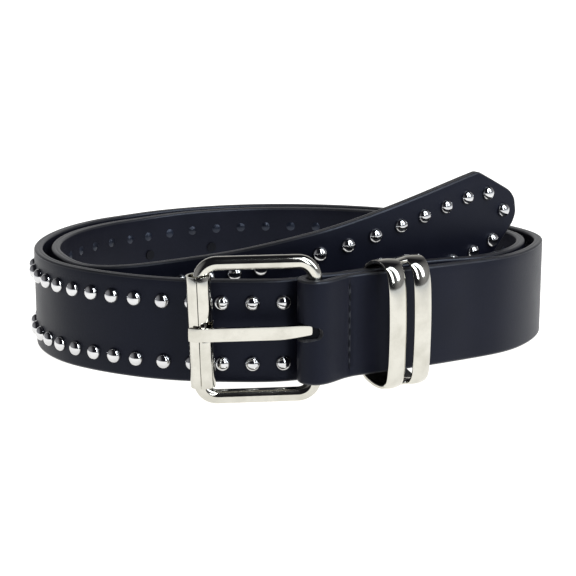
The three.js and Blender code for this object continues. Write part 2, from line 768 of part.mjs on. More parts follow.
// The origin is under the middle of the belt's box.
const box = new THREE.Box3().setFromObject(belt);
const shift = new THREE.Vector3(-(box.min.x + box.max.x) / 2, -(box.min.y + box.max.y) / 2, -box.min.z);
belt.children.forEach((mesh) => mesh.geometry.translate(shift.x, shift.y, shift.z));

export default belt;
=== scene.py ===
# %% [markdown]
# A studded leather belt lies unbuckled, coiled about two turns on its edge.
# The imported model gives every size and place. This lesson dresses it piece by piece:
# first the camera and the light, then the strap, the studs and the metal parts.

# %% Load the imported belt
import math

import bmesh
import bpy
import numpy as np
from mathutils import Matrix, Vector, noise


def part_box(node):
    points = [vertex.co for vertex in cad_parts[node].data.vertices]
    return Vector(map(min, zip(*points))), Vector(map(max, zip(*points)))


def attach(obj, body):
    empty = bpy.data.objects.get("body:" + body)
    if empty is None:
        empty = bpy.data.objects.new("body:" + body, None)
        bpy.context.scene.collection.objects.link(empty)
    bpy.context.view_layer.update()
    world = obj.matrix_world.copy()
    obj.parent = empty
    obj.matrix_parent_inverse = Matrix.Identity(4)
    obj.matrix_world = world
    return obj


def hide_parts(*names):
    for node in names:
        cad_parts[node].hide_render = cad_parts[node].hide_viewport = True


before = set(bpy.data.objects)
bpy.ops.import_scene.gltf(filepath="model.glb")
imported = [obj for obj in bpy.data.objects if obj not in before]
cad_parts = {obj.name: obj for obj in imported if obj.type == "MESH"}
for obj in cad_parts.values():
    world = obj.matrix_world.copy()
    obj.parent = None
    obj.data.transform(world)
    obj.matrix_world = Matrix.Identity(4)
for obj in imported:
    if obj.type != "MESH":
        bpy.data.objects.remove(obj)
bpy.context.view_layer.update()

MM = 0.001

# %% [markdown]
# The belt was photographed from the front and a little above with a long lens.
# A camera can be placed by its rotation or by the point it looks at. Here it looks at a point
# low in the middle of the belt, because that point and the height of view were read first.

# %% Place the camera
view_drop = math.radians(14.4)
view_distance = 700 * MM
looked_at = Vector((0.03, -1.08, 22)) * MM
lens_length = 109.8

camera_data = bpy.data.cameras.new("camera")
camera_data.lens = lens_length
camera_data.sensor_width = 36
camera_data.clip_start = 0.05
camera_data.clip_end = 60
camera = bpy.data.objects.new("camera", camera_data)
bpy.context.scene.collection.objects.link(camera)
camera.rotation_euler = (math.pi / 2 - view_drop, 0, 0)
back_off = Vector((0, -math.cos(view_drop), math.sin(view_drop)))
camera.location = looked_at + back_off * view_distance
bpy.context.scene.camera = camera
print("camera at, mm:", [round(c / MM) for c in camera.location])

# %% [markdown]
# Polished metal shows the room, so the room is half of the look. The photograph's metal is pale
# below, dark in the middle and bright in one tall streak. A floor that glows with painted light,
# fading away from the belt, a dark sky in front, a lighter sky behind and a few soft boxes give those bands.

# %% Helpers for node materials
def new_material(name):
    material = bpy.data.materials.new(name)
    material.use_nodes = True
    nodes = material.node_tree.nodes
    return material, nodes, material.node_tree.links, nodes["Principled BSDF"]


def add_node(nodes, kind, **settings):
    node = nodes.new(kind)
    for name, value in settings.items():
        if name in node.inputs:
            node.inputs[name].default_value = value
        else:
            setattr(node, name, value)
    return node


def ramp_between(nodes, links, source, stops):
    ramp = nodes.new("ShaderNodeValToRGB")
    elements = ramp.color_ramp.elements
    while len(elements) < len(stops):
        elements.new(0.5)
    for element, (position, grey) in zip(elements, stops):
        element.position = position
        element.color = (grey, grey, grey, 1) if isinstance(grey, float) else (*grey, 1)
    links.new(source, ramp.inputs["Fac"])
    return ramp.outputs["Color"]


# %% Lay the floor, which glows with painted light
floor_size = 7
floor_mesh = bmesh.new()
bmesh.ops.create_grid(floor_mesh, x_segments=1, y_segments=1, size=floor_size / 2)
floor_data = bpy.data.meshes.new("floor")
floor_mesh.to_mesh(floor_data)
floor_mesh.free()
floor = bpy.data.objects.new("floor", floor_data)
bpy.context.scene.collection.objects.link(floor)

paper, nodes, links, shader = new_material("pale paper, glowing")
shader.inputs["Base Color"].default_value = (0.3, 0.3, 0.3, 1)
shader.inputs["Roughness"].default_value = 0.9
shader.inputs["Specular IOR Level"].default_value = 0.0
place = add_node(nodes, "ShaderNodeTexCoord")
split = add_node(nodes, "ShaderNodeSeparateXYZ")
links.new(place.outputs["Object"], split.inputs["Vector"])
aside = add_node(nodes, "ShaderNodeMath", operation="ABSOLUTE")
links.new(split.outputs["X"], aside.inputs[0])
off_stage = add_node(nodes, "ShaderNodeMath", operation="MULTIPLY_ADD")
off_stage.inputs[1].default_value = -0.35
links.new(split.outputs["Y"], off_stage.inputs[0])
links.new(aside.outputs["Value"], off_stage.inputs[2])
painted_glow_falloff = add_node(nodes, "ShaderNodeMapRange")
painted_glow_falloff.inputs["From Min"].default_value = 0.2
painted_glow_falloff.inputs["From Max"].default_value = 0.7
links.new(off_stage.outputs["Value"], painted_glow_falloff.inputs["Value"])
# Painted light: the floor glows by itself, full white near the belt and dimmer away from it, standing in for
# a lit floor in the metal's reflections.
painted_floor_glow = ramp_between(nodes, links, painted_glow_falloff.outputs["Result"], [
    (0.0, (1.0, 0.99, 0.965)), (0.4, (0.72, 0.72, 0.72)), (1.0, (0.45, 0.47, 0.5))])
links.new(painted_floor_glow, shader.inputs["Emission Color"])
shader.inputs["Emission Strength"].default_value = 1.05
floor_data.materials.append(paper)
print("floor side, m:", floor_size)

# %% Set the sky
world = bpy.data.worlds.new("studio")
bpy.context.scene.world = world
world.use_nodes = True
nodes = world.node_tree.nodes
links = world.node_tree.links
direction = add_node(nodes, "ShaderNodeTexCoord")
split = add_node(nodes, "ShaderNodeSeparateXYZ")
links.new(direction.outputs["Generated"], split.inputs["Vector"])
depth = add_node(nodes, "ShaderNodeMapRange")
depth.inputs["From Min"].default_value = 0.5
depth.inputs["From Max"].default_value = 0.95
links.new(split.outputs["Y"], depth.inputs["Value"])
behind = ramp_between(nodes, links, depth.outputs["Result"], [
    (0.0, (0.014, 0.014, 0.018)), (0.5, (0.14, 0.14, 0.15)), (1.0, (0.75, 0.75, 0.74))])
aside = add_node(nodes, "ShaderNodeMath", operation="ABSOLUTE")
links.new(split.outputs["X"], aside.inputs[0])
breadth = add_node(nodes, "ShaderNodeMapRange")
breadth.inputs["From Min"].default_value = 0.5
breadth.inputs["From Max"].default_value = 0.95
links.new(aside.outputs["Value"], breadth.inputs["Value"])
sides = ramp_between(nodes, links, breadth.outputs["Result"], [
    (0.0, (0.0, 0.0, 0.0)), (1.0, (0.3, 0.3, 0.31))])
sky = add_node(nodes, "ShaderNodeVectorMath", operation="ADD")
links.new(behind, sky.inputs[0])
links.new(sides, sky.inputs[1])
links.new(sky.outputs["Vector"], nodes["Background"].inputs["Color"])
nodes["Background"].inputs["Strength"].default_value = 1.0
bpy.context.scene.view_settings.view_transform = "Standard"
print("world:", world.name)


# %% Hang the soft boxes
def soft_box(name, place, aim, width, height, power, tint=(1, 1, 1), in_reflections=True):
    data = bpy.data.lights.new(name, "AREA")
    data.shape = "RECTANGLE"
    data.size = width
    data.size_y = height
    data.energy = power
    data.color = tint
    lamp = bpy.data.objects.new(name, data)
    bpy.context.scene.collection.objects.link(lamp)
    lamp.location = place
    toward = Vector(aim) - Vector(place)
    lamp.rotation_euler = toward.to_track_quat("-Z", "Y").to_euler()
    lamp.visible_glossy = in_reflections
    return lamp


soft_box("overhead", (0, 0.9, 2.2), (0, 0.1, 0), 2.6, 1.6, 45, in_reflections=False)
soft_box("window", (0.8, -1.45, 1.25), (0, 0, 0.03), 0.26, 2.0, 22, (0.9, 0.95, 1))
soft_box("side window", (1.35, -0.6, 1.25), (0, 0, 0.03), 0.6, 2.0, 24, (0.86, 0.93, 1))
print("soft boxes: overhead, window, side window")

# %% [markdown]
# The strap follows one route: a hidden flap, a fold round the buckle's bar, about two turns of
# coil, and a free end that rises across it. A curve object could carry it, but the strap also
# leans, lifts and narrows, so the route is worked out as a smooth line through a short table.

# %% Sizes of the strap and its fold, in millimetres
strap_width = 38
strap_thickness = 3.4
coil_radius = 100
piece_gap = 0.3
stud_height = 2.4
stud_room = 0.6
layer_step = strap_thickness + stud_height + stud_room

bar_spacing = 40.8
wire_radius = 2.6
roller_radius = 4.5
buckle_height = 54
buckle_heading = math.radians(6.3)
fold_heading = math.radians(32.3)
fold_length = 14
keeper_from_bar = 23.6
keeper_length = 18.7
flap_length = keeper_from_bar + keeper_length + 3
fold_lift = 0.19

left_bar_front = coil_radius * 0.731 + stud_height + stud_room + roller_radius
bar_x = coil_radius * 0.095
bar_y = -left_bar_front + bar_spacing * math.sin(buckle_heading)


def local_frame(forward, out, origin=(0, 0, 0)):
    frame_matrix = Matrix.Identity(4)
    frame_matrix.col[0][:3] = forward
    frame_matrix.col[1][:3] = out
    frame_matrix.col[3][:3] = origin
    return frame_matrix


# Along runs left from the right bar on the buckle, and right from it on the fold.
c, s = math.cos(buckle_heading), math.sin(buckle_heading)
buckle_plan = local_frame((-c, -s, 0), (s, -c, 0), (bar_x, bar_y, 0))
c, s = math.cos(fold_heading), math.sin(fold_heading)
fold_plan = local_frame((c, s, 0), (s, -c, 0), (bar_x, bar_y, 0))

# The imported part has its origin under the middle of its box, so everything shifts a little.
low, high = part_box("buckle_frame")
middle_of_frame = buckle_plan @ Vector((bar_spacing / 2, 0, buckle_height / 2))
to_part = Matrix.Scale(MM, 4) @ Matrix.Translation((low + high) / 2 / MM - middle_of_frame)
print("shift, mm:", [round(v / MM, 3) for v in to_part.translation])

# %% Table of the coil, seen from above
# turn: degrees from the front, counter-clockwise. out: radius of the outer face as a share
# of coil_radius. layers: layers outside this one. lift: height of the lower edge as a share
# of strap_width.
coil = [
    (52, 0.77, 0, 0.142), (60, 0.805, 0, 0.125), (68, 0.866, 0, 0.115), (76, 0.92, 0, 0.098),
    (87, 0.985, 0, 0.08), (97, 1.028, 0, 0.062), (108, 1.022, 0, 0.036), (120, 0.99, 0, 0.012),
    (135, 0.945, 0, 0), (150, 0.917, 0, 0), (165, 0.896, 0, 0), (180, 0.893, 0, 0),
    (195, 0.905, 0, 0), (210, 0.929, 0, 0), (225, 0.96, 0, 0), (240, 0.98, 0, 0.022),
    (255, 0.988, 0, 0.05), (270, 0.996, 0, 0.076), (281, 0.993, 0, 0.094), (290, 0.977, 0, 0.106),
    (299, 0.95, 0, 0.119), (308, 0.91, 0, 0.13), (318, 0.866, 0, 0.138), (332, 0.806, 0, 0.143),
    (346, 0.753, 0, 0.145), (359, 0.718, 0, 0.143), (378, 0.7, 1, 0.134), (405, 0.68, 1, 0.12),
    (418, 0.737, 1, 0.113), (427, 0.835, 1, 0.105), (436, 0.914, 1, 0.096), (446, 0.977, 1, 0.08),
    (457, 1.019, 1, 0.062), (469, 1.016, 1, 0.034), (480, 0.988, 1, 0.012), (495, 0.944, 1, 0),
    (510, 0.916, 1, 0), (525, 0.894, 1, 0), (540, 0.889, 1, 0), (555, 0.897, 1, 0),
    (570, 0.915, 1, 0), (585, 0.935, 1, 0), (600, 0.958, 1, 0.022), (615, 0.981, 1, 0.05),
    (630, 0.992, 1, 0.078), (641, 0.99, 1, 0.096), (649, 0.981, 1, 0.108),
]

# The free end. x and y: middle of the strap as shares of coil_radius. lift: as above.
free_end = [
    (-0.792, -0.402, 0.116), (-0.735, -0.455, 0.119), (-0.655, -0.475, 0.123), (-0.55, -0.466, 0.134),
    (-0.45, -0.449, 0.153), (-0.18, -0.431, 0.242), (0.14, -0.403, 0.426), (0.46, -0.244, 0.645),
    (0.72, -0.038, 0.816), (0.922, 0.1255, 0.928),
]


# %% Points of the route
def shares(*values):
    return [float(v) for v in values]


bend_radius = wire_radius + piece_gap + strap_thickness / 2
half_step = (strap_thickness + piece_gap) / 2


def closing(along):
    return bend_radius + (half_step - bend_radius) * (1 - math.cos(math.pi * along / fold_length)) / 2


def on_fold(along, outward, z=0.0):
    return fold_plan @ Vector((along, outward, z))


def route_points():
    rows = []

    def add(point, lift):
        rows.append((point[0], point[1], lift * strap_width))

    for share in shares(1, 0.75, 0.5, 0.25):
        add(on_fold(fold_length + (flap_length - fold_length) * share, -half_step), fold_lift)
    for share in shares(1, 0.75, 0.5, 0.25):
        add(on_fold(fold_length * share, -closing(fold_length * share)), fold_lift)
    for turn in np.radians(np.arange(-90, 91, 22.5)):
        add(on_fold(-bend_radius * math.cos(turn), bend_radius * math.sin(turn)), fold_lift)
    for share in shares(0.25, 0.5, 0.75, 1):
        add(on_fold(fold_length * share, closing(fold_length * share)), fold_lift)
    for share in shares(0.25, 0.5, 0.75, 1):
        lift = fold_lift + (coil[0][3] - fold_lift) * 0.7 * share
        add(on_fold(fold_length + (flap_length - fold_length) * share, half_step), lift)
    for turn, out, layers, lift in coil:
        radius = coil_radius * out - layers * layer_step - strap_thickness / 2
        angle = math.radians(turn)
        add((radius * math.sin(angle), -radius * math.cos(angle)), lift)
    for x, y, lift in free_end:
        add((x * coil_radius, y * coil_radius), lift)
    return np.array(rows)


print("route points:", len(route_points()))


# %% Smooth lines through the points
def smooth_through(knots, values, wanted):
    step = np.diff(knots)
    count = len(knots)
    system = np.eye(count)
    right = np.zeros(count)
    for i in range(1, count - 1):
        system[i, i - 1:i + 2] = step[i - 1], 2 * (step[i - 1] + step[i]), step[i]
        right[i] = 6 * ((values[i + 1] - values[i]) / step[i] - (values[i] - values[i - 1]) / step[i - 1])
    bend = np.linalg.solve(system, right)
    i = np.clip(np.searchsorted(knots, wanted, side="right") - 1, 0, count - 2)
    a = (knots[i + 1] - wanted) / step[i]
    b = (wanted - knots[i]) / step[i]
    curve = (a ** 3 - a) * bend[i] + (b ** 3 - b) * bend[i + 1]
    return a * values[i] + b * values[i + 1] + curve * step[i] ** 2 / 6


def steady_through(knots, values, wanted):
    step = np.diff(knots)
    rise = np.diff(values) / step
    slope = np.concatenate([rise[:1], np.zeros(len(rise) - 1), rise[-1:]])
    for i in range(1, len(rise)):
        if rise[i - 1] * rise[i] > 0:
            slope[i] = 2 * rise[i - 1] * rise[i] / (rise[i - 1] + rise[i])
    i = np.clip(np.searchsorted(knots, wanted, side="right") - 1, 0, len(knots) - 2)
    t = (wanted - knots[i]) / step[i]
    start = values[i] * (1 + 2 * t) * (1 - t) ** 2 + slope[i] * step[i] * t * (1 - t) ** 2
    end = values[i + 1] * t * t * (3 - 2 * t) + slope[i + 1] * step[i] * t * t * (t - 1)
    return start + end


rows = route_points()
knots = np.concatenate([[0], np.cumsum(np.hypot(*np.diff(rows[:, :2], axis=0).T))])
fine_count = math.ceil(knots[-1] / 0.4)
fine_at = knots[-1] * np.arange(fine_count + 1) / fine_count
fine_line = np.stack([
    smooth_through(knots, rows[:, 0], fine_at),
    smooth_through(knots, rows[:, 1], fine_at),
    steady_through(knots, rows[:, 2], fine_at)], axis=1)
fine_lengths = np.concatenate([[0], np.cumsum(np.linalg.norm(np.diff(fine_line, axis=0), axis=1))])
route_length = float(fine_lengths[-1])
print("route length, mm:", round(route_length, 1))


# %% The strap's own directions
def point_on(length):
    return Vector([float(np.interp(length, fine_lengths, fine_line[:, i])) for i in range(3)])


def strap_frame(length):
    """Columns: out of the face, forward, across the width, and the lower edge's middle."""
    before = point_on(max(0, length - 0.6))
    after = point_on(min(route_length, length + 0.6))
    forward = (after - before).normalized()
    out = Vector((forward.y, -forward.x, 0)).normalized()
    across = out.cross(forward).normalized()
    across = -across if across.z < 0 else across
    place = Matrix.Identity(4)
    place.col[0][:3] = out
    place.col[1][:3] = forward
    place.col[2][:3] = across
    place.col[3][:3] = point_on(length)
    return place


def length_at_turn(turn):
    first = len(rows) - len(free_end) - len(coil)
    turns = [row[0] for row in coil]
    index = int(np.clip(np.searchsorted(turns, turn, side="right") - 1, 0, len(coil) - 2))
    share = (turn - turns[index]) / (turns[index + 1] - turns[index])
    target = rows[first + index] + (rows[first + index + 1] - rows[first + index]) * share
    shares = fine_lengths / route_length
    allowed = (shares > 0.1) & (shares < 0.52) if turn < 360 else shares > 0.46
    distance = np.hypot(*(fine_line[:, :2] - target[:2]).T)
    return float(fine_lengths[np.argmin(np.where(allowed, distance, np.inf))])


print("length at the coil's second turn, mm:", round(length_at_turn(405), 1))

# %% [markdown]
# Every long piece here is a small outline pulled along a path: the strap, the buckle's wire,
# the tongue and the keeper. Each ring of edges is extruded and its new points are set down at
# the next station, so the outline can narrow, dent or crown on the way.

# %% Helpers for pulled shapes
def ring_points(mesh):
    mesh.verts.ensure_lookup_table()
    mesh.verts.index_update()
    spot = mesh.verts.layers.int.new("spot")
    for vertex in mesh.verts:
        vertex[spot] = vertex.index
    return [vertex.co.copy() for vertex in mesh.verts]


def pull(mesh, ring, stations, put):
    """Extrudes the ring once for each station. put(station, spot) says where a point goes."""
    travel = mesh.verts.layers.float.get("travel") or mesh.verts.layers.float.new("travel")
    spot = mesh.verts.layers.int["spot"]
    old = {v for e in ring for v in e.verts}
    for vertex in old:
        vertex.co = put(stations[0], vertex[spot])
        vertex[travel] = stations[0]
    for station in stations[1:]:
        made = bmesh.ops.extrude_edge_only(mesh, edges=ring)["geom"]
        new = {g for g in made if isinstance(g, bmesh.types.BMVert)} - old
        ring = [g for g in made if isinstance(g, bmesh.types.BMEdge) and set(g.verts) <= new]
        for vertex in new:
            vertex.co = put(station, vertex[spot])
            vertex[travel] = station
        old = new
    return ring


def close_end(mesh, ring):
    return bmesh.ops.edgeloop_fill(mesh, edges=ring)["faces"]


def soften(mesh, angle=35):
    """Smooth shading with sharp edges kept where faces meet steeply."""
    limit = math.radians(angle)
    for face in mesh.faces:
        face.smooth = True
    for edge in mesh.edges:
        edge.smooth = edge.is_manifold and edge.calc_face_angle(0) < limit


def finish_piece(name, mesh, materials, place=to_part, turn_out=True):
    bmesh.ops.transform(mesh, matrix=place, verts=mesh.verts)
    if turn_out:
        bmesh.ops.recalc_face_normals(mesh, faces=mesh.faces)
    data = bpy.data.meshes.new(name)
    mesh.to_mesh(data)
    mesh.free()
    for material in materials:
        data.materials.append(material)
    piece = bpy.data.objects.new(name, data)
    bpy.context.scene.collection.objects.link(piece)
    print(name, "faces:", len(data.polygons))
    return piece


def settle(piece, angle=35):
    """Applies a piece's modifiers, so its shape is all in its mesh, and sets its shading."""
    bpy.context.view_layer.update()
    solid = piece.evaluated_get(bpy.context.evaluated_depsgraph_get())
    data = bpy.data.meshes.new_from_object(solid)
    piece.modifiers.clear()
    old = piece.data
    piece.data = data
    bpy.data.meshes.remove(old)
    data.name = piece.name
    mesh = bmesh.new()
    mesh.from_mesh(data)
    bmesh.ops.remove_doubles(mesh, verts=mesh.verts, dist=0.00001)
    soften(mesh, angle)
    mesh.to_mesh(data)
    mesh.free()
    return piece


def cut_away(piece, cutter):
    cut = piece.modifiers.new("cut", "BOOLEAN")
    cut.operation = "DIFFERENCE"
    cut.solver = "EXACT"
    cut.material_mode = "TRANSFER"
    cut.object = cutter
    settle(piece)
    bpy.data.objects.remove(cutter)
    return piece

# %% [markdown]
# The leather is nearly black with a blue cast and a soft sheen. A photograph could be wrapped on
# it, but grain from cell and cloud patterns has no seams and stays sharp. The face gets fine
# cells and faint clouds in its gloss, the lining is flatter, and the painted edge is smoother.

# %% Leather materials
def leather(name, tint, deep_tint, roughness, grain_height, grain_size, specular):
    material, nodes, links, shader = new_material(name)
    place = add_node(nodes, "ShaderNodeTexCoord")
    clouds = add_node(nodes, "ShaderNodeTexNoise", Scale=55, Detail=5, Roughness=0.6)
    links.new(place.outputs["Object"], clouds.inputs["Vector"])
    colour = ramp_between(nodes, links, clouds.outputs["Fac"], [(0.3, deep_tint), (0.7, tint)])
    links.new(colour, shader.inputs["Base Color"])
    gloss = add_node(nodes, "ShaderNodeMapRange")
    gloss.inputs["To Min"].default_value = roughness - 0.06
    gloss.inputs["To Max"].default_value = roughness + 0.08
    links.new(clouds.outputs["Fac"], gloss.inputs["Value"])
    links.new(gloss.outputs["Result"], shader.inputs["Roughness"])
    cells = add_node(nodes, "ShaderNodeTexVoronoi", Scale=1 / (grain_size * MM))
    cells.feature = "DISTANCE_TO_EDGE"
    links.new(place.outputs["Object"], cells.inputs["Vector"])
    pores = add_node(nodes, "ShaderNodeTexNoise", Scale=0.6 / (grain_size * MM), Detail=4)
    links.new(place.outputs["Object"], pores.inputs["Vector"])
    height = add_node(nodes, "ShaderNodeMath", operation="MULTIPLY_ADD")
    height.inputs[1].default_value = 0.5
    links.new(cells.outputs["Distance"], height.inputs[0])
    links.new(pores.outputs["Fac"], height.inputs[2])
    bump = add_node(nodes, "ShaderNodeBump", Strength=0.6, Distance=grain_height * MM)
    links.new(height.outputs["Value"], bump.inputs["Height"])
    links.new(bump.outputs["Normal"], shader.inputs["Normal"])
    shader.inputs["Specular IOR Level"].default_value = specular
    shader.inputs["Specular Tint"].default_value = (0.72, 0.8, 1, 1)
    return material


face_leather = leather(
    "leather face", (0.0052, 0.0056, 0.0115),
    (0.0035, 0.0038, 0.008), 0.42, 0.05, 0.45, 0.17)
back_leather = leather(
    "leather lining", (0.006, 0.006, 0.011),
    (0.0038, 0.004, 0.0075), 0.46, 0.06, 0.6, 0.17)
edge_paint = leather("edge paint", (0.022, 0.021, 0.023), (0.01, 0.01, 0.011), 0.36, 0.05, 1.2, 0.4)
raw_leather = leather("cut leather", (0.11, 0.11, 0.115), (0.02, 0.02, 0.022), 0.75, 0.3, 0.3, 0.15)
rubbed_leather = leather("rubbed lining", (0.009, 0.012, 0.022), (0.004, 0.0045, 0.008), 0.32, 0.3, 1.3, 0.4)
# Painted shade: near-black walls for the holes and the pocket stand for the shade inside them; cut leather
# itself is paler.
hole_shade_leather = leather(
    "punched leather painted dark", (0.012, 0.012, 0.014),
    (0.004, 0.004, 0.005), 0.7, 0.2, 0.3, 0.1)
thread_finish = leather("dark thread", (0.004, 0.004, 0.005), (0.002, 0.002, 0.002), 0.6, 0.1, 0.3, 0.2)
print("leather finishes: face, lining, edge, cut, rubbed, punched, thread")


# %% Metal materials
def polished(name, tint, worn_tint, roughness, scratch):
    material, nodes, links, shader = new_material(name)
    place = add_node(nodes, "ShaderNodeTexCoord")
    clouds = add_node(nodes, "ShaderNodeTexNoise", Scale=120, Detail=4, Roughness=0.55)
    links.new(place.outputs["Object"], clouds.inputs["Vector"])
    colour = ramp_between(nodes, links, clouds.outputs["Fac"], [(0.35, worn_tint), (0.6, tint)])
    links.new(colour, shader.inputs["Base Color"])
    gloss = add_node(nodes, "ShaderNodeMapRange")
    gloss.inputs["To Min"].default_value = roughness * 0.6
    gloss.inputs["To Max"].default_value = roughness * 1.5
    links.new(clouds.outputs["Fac"], gloss.inputs["Value"])
    links.new(gloss.outputs["Result"], shader.inputs["Roughness"])
    ripple = add_node(nodes, "ShaderNodeTexNoise", Scale=420, Detail=2)
    links.new(place.outputs["Object"], ripple.inputs["Vector"])
    bump = add_node(nodes, "ShaderNodeBump", Strength=scratch, Distance=0.02 * MM)
    links.new(ripple.outputs["Fac"], bump.inputs["Height"])
    links.new(bump.outputs["Normal"], shader.inputs["Normal"])
    shader.inputs["Metallic"].default_value = 1.0
    return material


nickel = polished("polished nickel", (0.6, 0.585, 0.53), (0.52, 0.505, 0.45), 0.09, 0.25)
chrome = polished("chrome plate", (0.64, 0.64, 0.645), (0.56, 0.56, 0.57), 0.07, 0.25)
print("metal finishes: nickel, chrome")

# %% [markdown]
# The strap itself is two leathers bonded back to back, with painted edges that are slightly
# round. It could be a flat sheet given a thickness, but then both faces and the edge would
# share one finish. A small outline with round corners is pulled along the route instead, and
# each strip between its corners gets a material of its own.

# %% Outline of the strap
edge_round = 0.8
bond_line_depth = 0.12
tip_depth = 18.3
nose_depth = 3.4
nose_half = 7.6
tip_corner_round = 1.0
crease_from_bar = 13.0
crease_depth = 1.0
crease_half_width = 0.95

strap_mesh = bmesh.new()
bmesh.ops.create_grid(strap_mesh, x_segments=1, y_segments=1, size=0.5)
bmesh.ops.scale(strap_mesh, vec=(strap_thickness, strap_width, 1), verts=strap_mesh.verts)
bmesh.ops.bevel(strap_mesh, geom=strap_mesh.verts[:], offset=edge_round, segments=4, profile=0.5,
                affect="VERTICES", material=-1)
tall = [e for e in strap_mesh.edges if abs(e.verts[0].co.y - e.verts[1].co.y) > strap_width / 2]
bmesh.ops.subdivide_edges(strap_mesh, edges=tall, cuts=11)
wide = [e for e in strap_mesh.edges if abs(e.verts[0].co.x - e.verts[1].co.x) > edge_round]
bmesh.ops.subdivide_edges(strap_mesh, edges=wide, cuts=3)
for vertex in strap_mesh.verts:
    on_edge = abs(vertex.co.y) > strap_width / 2 - 0.01
    if on_edge and abs(vertex.co.x) < 0.01:
        vertex.co.y -= math.copysign(bond_line_depth, vertex.co.y)
bmesh.ops.delete(strap_mesh, geom=strap_mesh.faces[:], context="FACES_ONLY")
strap_outline = ring_points(strap_mesh)
print("outline points:", len(strap_outline))


# %% Width at the pointed end
nose_radius = (nose_half ** 2 + nose_depth ** 2) / (2 * nose_depth)


def half_width(from_end):
    if from_end >= tip_depth:
        return strap_width / 2
    if from_end >= nose_depth:
        share = (from_end - nose_depth) / (tip_depth - nose_depth)
        return nose_half + (strap_width / 2 - nose_half) * share
    return math.sqrt(max(0.0, nose_radius ** 2 - (nose_radius - from_end) ** 2))


def eased_half_width(from_end):
    spread = np.linspace(-tip_corner_round, tip_corner_round, 9)
    if from_end < tip_corner_round + nose_depth * 0.6:
        return half_width(from_end)
    return float(np.mean([half_width(from_end + d) for d in spread]))


fold_middle = flap_length + math.pi * bend_radius / 2


def along_fold(length):
    offset = point_on(length) - Vector((bar_x, bar_y, 0))
    return offset.x * math.cos(fold_heading) + offset.y * math.sin(fold_heading)


near_crease = np.arange(0, flap_length * 2 + 12, 0.25)
crease_gap = np.array([abs(along_fold(s) - crease_from_bar) for s in near_crease])
inner_part = near_crease < fold_middle
crease_lengths = [
    float(near_crease[np.argmin(np.where(inner_part, crease_gap, np.inf))]),
    float(near_crease[np.argmin(np.where(inner_part, np.inf, crease_gap))])]
print("crease at lengths, mm:", [round(s, 1) for s in crease_lengths])


# %% Pull the strap along its route
def strap_stations():
    stations = [0.0]
    while stations[-1] < route_length - tip_depth - 6:
        length = stations[-1]
        turn = strap_frame(length).col[1].angle(strap_frame(min(length + 2, route_length)).col[1])
        step = min(3.2, math.sqrt(8 * 0.012 * 2 / max(turn, 0.0005)))
        if min(abs(length - crease) for crease in crease_lengths) < 4:
            step = min(step, 0.35)
        stations.append(length + max(step, 0.6) if step > 0.35 else length + 0.35)
    along_taper = np.arange(tip_depth + 5, nose_depth, -0.8)
    along_nose = nose_depth * np.linspace(1, 0.05, 12) ** 1.6
    ahead = np.concatenate([along_taper, along_nose])
    return stations + [route_length - float(a) for a in ahead] + [route_length]


frames = {}


def put_on_strap(length, spot):
    if length not in frames:
        from_end = route_length - length
        rim = max(0.0, edge_round - min(from_end, length)) / edge_round
        frames[length] = (strap_frame(length), eased_half_width(from_end), math.sqrt(max(0.0, 1 - rim ** 2)))
    place, half, roundness = frames[length]
    point = strap_outline[spot]
    full = strap_width / 2
    keep = min(edge_round * 1.2, half * 0.5)
    inset = (full - abs(point.y)) * (keep / (edge_round * 1.2) if half < full else 1)
    reach = abs(point.y) / full * half if full - abs(point.y) > edge_round * 1.2 else half - inset
    high = full + math.copysign(reach, point.y)
    core = strap_thickness / 2 - edge_round
    out = math.copysign(min(abs(point.x), core) + max(0.0, abs(point.x) - core) * roundness, point.x)
    dent = sum(math.exp(-((length - crease) / crease_half_width) ** 2) for crease in crease_lengths)
    window = min(1.0, max(0.0, high - 1.5) / 2.5, max(0.0, strap_width - 1.5 - high) / 2.5)
    if point.x > strap_thickness / 2 - 0.02:
        unevenness = 0.25 * noise.noise(Vector((high * 0.55, 3.1, length * 0.1)))
        out -= crease_depth * dent * window * (1 + unevenness)
    return place @ Vector((out, 0, high))


stations = strap_stations()
first_ring = strap_mesh.edges[:]
last_ring = pull(strap_mesh, first_ring, stations, put_on_strap)
close_end(strap_mesh, first_ring)
close_end(strap_mesh, last_ring)
print("stations:", len(stations))

# %% Give the faces, the lining and the edges their materials
spot = strap_mesh.verts.layers.int["spot"]
for face in strap_mesh.faces:
    spots = [strap_outline[v[spot]] for v in face.verts]
    sides = {round(p.x, 3) for p in spots}
    if len(spots) == 4 and len(sides) == 1 and abs(spots[0].x) > strap_thickness / 2 - 0.02:
        face.material_index = 0 if spots[0].x > 0 else 1
    else:
        face.material_index = 2
soften(strap_mesh, 50)
strap = finish_piece("leather_strap", strap_mesh, [face_leather, back_leather, edge_paint])

# %% [markdown]
# The buckle's tongue comes out of the strap through a slot cut in the fold, and the tongue holes
# are punched right through. Cut leather shows its paler inside at the rim, on the slot's walls; the
# holes and the pocket get near-black walls, painted shade for their dark insides. Each cutter carries
# its finish, is taken away from the strap, and leaves it on the walls.

# %% Cut the slot and the holes
slot_end = -0.4
slot_reach = bend_radius + strap_thickness / 2 + piece_gap / 2
slot_half_outside = 3.5
slot_half_inside = 2.2
slot_fray = 0.2
pocket_radius = 4.2
pocket_half = 3.1
hole_radius = 2
hole_pitch = 30.7
first_hole_inset = 306.4
hole_across = 0.57
hole_count = 5

